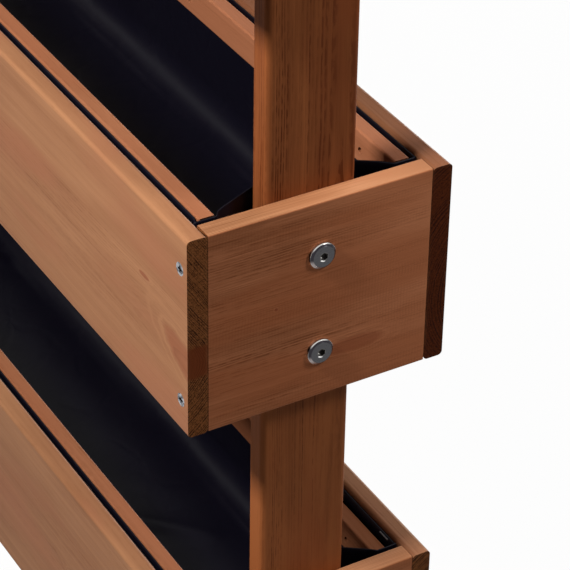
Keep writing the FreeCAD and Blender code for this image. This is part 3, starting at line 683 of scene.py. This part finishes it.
def rampHeight(x, y):  # a bend, then a straight slope
    beyond = abs(x) - endRamp["start"] - endRamp["bow"] * max(0.0, endRamp["bowFrom"] - y) ** 2
    soft = endRamp["soften"]
    return endRamp["slope"] * soft * math.log1p(math.exp(min(endRamp["straightFrom"], beyond / soft)))


def wave(x, y, z):
    return noise.noise(Vector((x, y, z)))


def wrinkle(name, broad, small):
    rest, broadShare, smallShare = filmWrinkles[name]
    return max(0.0, rest + broadShare * broad + smallShare * small)


def filmPoint(edge, frontRow, rearRow, tier, seed):  # where a point of the flat film hangs
    kind, loose = frontRow[0], filmSlack[tier]
    alongBoard = share((filmForm["end"] - abs(edge.x)) / filmForm["cornerRamp"])  # 0 at the ends
    if abs(edge.y) < filmForm["shoulder"]:
        alongBoard = 0.0
    rear = alongBoard if edge.y > 0 else 0.0
    inset, height = (front + (back - front) * rear for front, back in zip(frontRow[1:], rearRow[1:]))
    spine = filmForm["spine"]
    centre = Vector((max(-spine, min(spine, edge.x)), 0.0))
    tented = share((filmForm["shoulder"] - abs(edge.y)) / filmForm["tentRamp"])  # 1 beside the posts
    tentX, tentY = filmWaves["tent"]
    wobble = filmForm["tentWobble"] * wave(edge.y * tentY, edge.x * tentX, seed)
    lift = tented * (filmForm["tentLift"] + wobble)
    lift += (1 - tented) * (1 - alongBoard) * filmForm["cornerLift"]
    slackX, slackY, slackZ = filmWaves["slack"]
    slack = wave(edge.x * slackX, edge.y * slackY + seed, height * slackZ)
    drawX, drawY, drawZ = filmWaves["draw"]
    draw = wave(edge.x * drawX + edge.y * drawY, seed * seedShares["draw"], height * drawZ)
    if kind in ("hem", "rim"):
        inset = inset * (filmForm["endTurnIn"] + (1 - filmForm["endTurnIn"]) * alongBoard)
        if kind == "hem":  # at the ends only a narrow turn-in is left
            height += (1 - alongBoard) * (filmForm["endHem"] - height) * filmForm["endHemShare"]
        height += lift
    elif kind == "wall":
        hang = share((filmForm["hangTop"] - height) / filmForm["hangReach"])
        inset += loose * hang * wrinkle("wall", slack, draw)
        height += lift * (1 - hang)
    elif kind == "corner":
        inset += loose * wrinkle("corner", slack, draw)
        height += loose * wrinkle("cornerRise", slack, draw)
    place = edge.lerp(centre, min(1.0, inset / filmForm["wall"]))
    if kind in ("corner", "floor"):
        fade = 1.0 if kind == "floor" else min(1.0, (inset / filmForm["corner"]) ** 2)
        (swellX, swellY), (smallX, smallY) = filmWaves["swell"], filmWaves["small"]
        swell = wave(place.x * swellX, place.y * swellY, seed * seedShares["swell"])
        small = wave(place.x * smallX, place.y * smallY, seed * seedShares["small"])
        height += fade * (loose * wrinkle("floor", swell, small)
                          + foldHeight(place.x, place.y, filmFolds[tier]))
        if tier == "lower":
            height += fade * rampHeight(place.x, place.y)
    return Vector((place.x, place.y, tierBase[tier] + height))


def makeLiner(tier, seed):
    outline, frontRows = filmOutline(), filmProfile("front")
    rearRows = filmProfile("sunk" if tier == "lower" else "rear")
    last = len(frontRows) - 1
    mesh = bmesh.new()
    bmesh.ops.create_grid(mesh, x_segments=len(outline), y_segments=last, size=0.5)
    for vert in mesh.verts:
        edge = outline[round((vert.co.x + 0.5) * len(outline)) % len(outline)]
        row = round((vert.co.y + 0.5) * last)
        vert.co = filmPoint(edge, frontRows[row], rearRows[row], tier, seed)
    bmesh.ops.remove_doubles(mesh, verts=mesh.verts, dist=filmForm["weld"])
    bmesh.ops.recalc_face_normals(mesh, faces=mesh.faces)
    flatFloor = max(mesh.faces, key=lambda face: face.calc_area())
    if flatFloor.normal.z < 0:  # the film's inside is its face
        bmesh.ops.reverse_faces(mesh, faces=mesh.faces)
    for face in mesh.faces:
        face.smooth = True
    data = bpy.data.meshes.new(tier + "_film")
    mesh.to_mesh(data)
    mesh.free()
    piece = bpy.data.objects.new(tier + "_film", data)
    bpy.context.scene.collection.objects.link(piece)
    thick = piece.modifiers.new("filmThickness", "SOLIDIFY")
    thick.thickness = filmForm["thickness"]
    thick.offset = 0.0
    return piece


def filmMaterial():
    material, tree, shader = newMaterial("blackFilm")
    source = addNode(tree, "TexCoord").outputs["Object"]
    cloud = mottle(tree, filmLook["cloudScale"], 4.0, source)["Fac"]
    grain = mottle(tree, filmLook["grainScale"], 3.0, source)["Fac"]
    stray = mottle(tree, filmLook["creaseBend"], 2.0, source)["Color"]
    sway = (filmLook["creaseSway"],) * 3
    bent = addNode(tree, "VectorMath", {0: stray, 1: sway, 2: source}, operation="MULTIPLY_ADD").outputs[0]
    cells = addNode(tree, "TexVoronoi", {"Vector": bent, "Scale": filmLook["creaseScale"]},
                    feature="DISTANCE_TO_EDGE").outputs["Distance"]
    crumple = softStep(tree, cells, 0.0, 0.16)
    scuff = times(tree, softStep(tree, cloud, 0.52, 0.75), softStep(tree, grain, 0.48, 0.72, 0.0, 0.8))
    tree.links.new(mixColour(tree, scuff, filmLook["colour"], filmLook["scuff"]), shader["Base Color"])
    tree.links.new(scaled(tree, cloud, filmLook["roughCloud"], filmLook["roughness"]), shader["Roughness"])
    shader["Specular IOR Level"].default_value = filmLook["specular"]
    relief = scaled(tree, cloud, filmLook["reliefCloud"], times(tree, grain, filmLook["reliefGrain"]))
    relief = scaled(tree, crumple, filmLook["reliefCrease"], relief)
    addBump(tree, shader, relief, filmLook["relief"], filmLook["reliefDepth"])
    return material


film = filmMaterial()
for tier, seed in tierSeeds.items():
    liner = makeLiner(tier, seed)
    dress(liner, film)
    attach(liner, "root")
    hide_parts(tier + "_liner")
print("film liners made")


stageLook = {
    "size": 30.0, "floor": (0.90, 0.90, 0.90, 1), "floorBounce": (0.20, 0.20, 0.20, 1), "floorRoughness": 0.9,
    "whiteShare": 0.97, "worldStrength": 0.060,
    "lamps": {
        "keyLamp": {"place": (0.45, -0.94, 1.41), "aim": (0.37, 0.0, 0.40), "power": 22.2, "size": 0.20,
                    "colour": (1.0, 0.98, 0.95)},
        "fillLamp": {"place": (0.985, 0.715, 1.27), "aim": (0.40, 0.0, 0.36), "power": 6.2, "size": 0.30,
                     "colour": (1.0, 0.98, 0.96)},
        "backLamp": {"place": (-1.35, 1.95, 0.55), "aim": (0.0, 0.0, 0.38), "power": 36.0, "size": 0.80,
                     "colour": (1.0, 0.98, 0.96)},
    },
}
cameraView = {
    "place": (1.5534, -0.7046, 1.3159), "azimuth": 59.51, "elevation": 34.303, "roll": 0.994,
    "lens": 168.1, "sensor": 36.0, "nearest": 0.05, "farthest": 100.0,
}


def seenRays(tree):  # rays that show the plain background: the camera's, and those mirrored or passed on
    path = addNode(tree, "LightPath").outputs
    seen = calc(tree, "MAXIMUM", path["Is Camera Ray"], path["Is Glossy Ray"])
    return calc(tree, "MAXIMUM", seen, path["Is Transmission Ray"])


def makeFloor():
    mesh = bmesh.new()
    bmesh.ops.create_grid(mesh, x_segments=1, y_segments=1, size=stageLook["size"] / 2)
    data = bpy.data.meshes.new("studioFloor")
    mesh.to_mesh(data)
    mesh.free()
    floor = bpy.data.objects.new("studioFloor", data)
    bpy.context.scene.collection.objects.link(floor)
    material, tree, shader = newMaterial("paleFloor")
    seen = seenRays(tree)
    colour = mixColour(tree, seen, stageLook["floorBounce"], stageLook["floor"])
    tree.links.new(colour, shader["Base Color"])
    shader["Roughness"].default_value = stageLook["floorRoughness"]
    glow = addNode(tree, "Emission", {"Color": (1, 1, 1, 1), "Strength": 1.0})
    painted = tree.nodes["Principled BSDF"].outputs[0]
    white = times(tree, seen, stageLook["whiteShare"])  # the rest keeps the object's shadow
    mixed = addNode(tree, "MixShader", {0: white, 1: painted, 2: glow.outputs[0]})
    tree.links.new(mixed.outputs[0], tree.nodes["Material Output"].inputs["Surface"])
    dress(floor, material)


def makeWorld():
    world = bpy.data.worlds.new("studioWorld")
    world.use_nodes = True
    bpy.context.scene.world = world
    tree = world.node_tree
    low = stageLook["worldStrength"]
    background = tree.nodes["Background"].inputs
    background["Color"].default_value = (1, 1, 1, 1)
    tree.links.new(scaled(tree, seenRays(tree), 1.0 - low, low), background["Strength"])


def makeLamp(name, settings):
    lamp = bpy.data.lights.new(name, "AREA")
    lamp.energy, lamp.size, lamp.color = settings["power"], settings["size"], settings["colour"]
    holder = bpy.data.objects.new(name, lamp)
    holder.location = settings["place"]
    away = Vector(settings["place"]) - Vector(settings["aim"])
    holder.rotation_euler = away.to_track_quat("Z", "Y").to_euler()
    holder.visible_camera = False
    bpy.context.scene.collection.objects.link(holder)


def makeCamera():
    camera = bpy.data.cameras.new("photoCamera")
    camera.lens, camera.sensor_width = cameraView["lens"], cameraView["sensor"]
    camera.clip_start, camera.clip_end = cameraView["nearest"], cameraView["farthest"]
    holder = bpy.data.objects.new("photoCamera", camera)
    turn = (Matrix.Rotation(math.radians(cameraView["azimuth"]), 3, "Z")
            @ Matrix.Rotation(math.radians(90 - cameraView["elevation"]), 3, "X")
            @ Matrix.Rotation(math.radians(cameraView["roll"]), 3, "Z"))
    holder.location = cameraView["place"]
    holder.rotation_euler = turn.to_euler()
    bpy.context.scene.collection.objects.link(holder)
    bpy.context.scene.camera = holder


makeFloor()
makeWorld()
for lampName, settings in stageLook["lamps"].items():
    makeLamp(lampName, settings)
makeCamera()
bpy.context.scene.view_settings.view_transform = "Standard"
print("stage set")
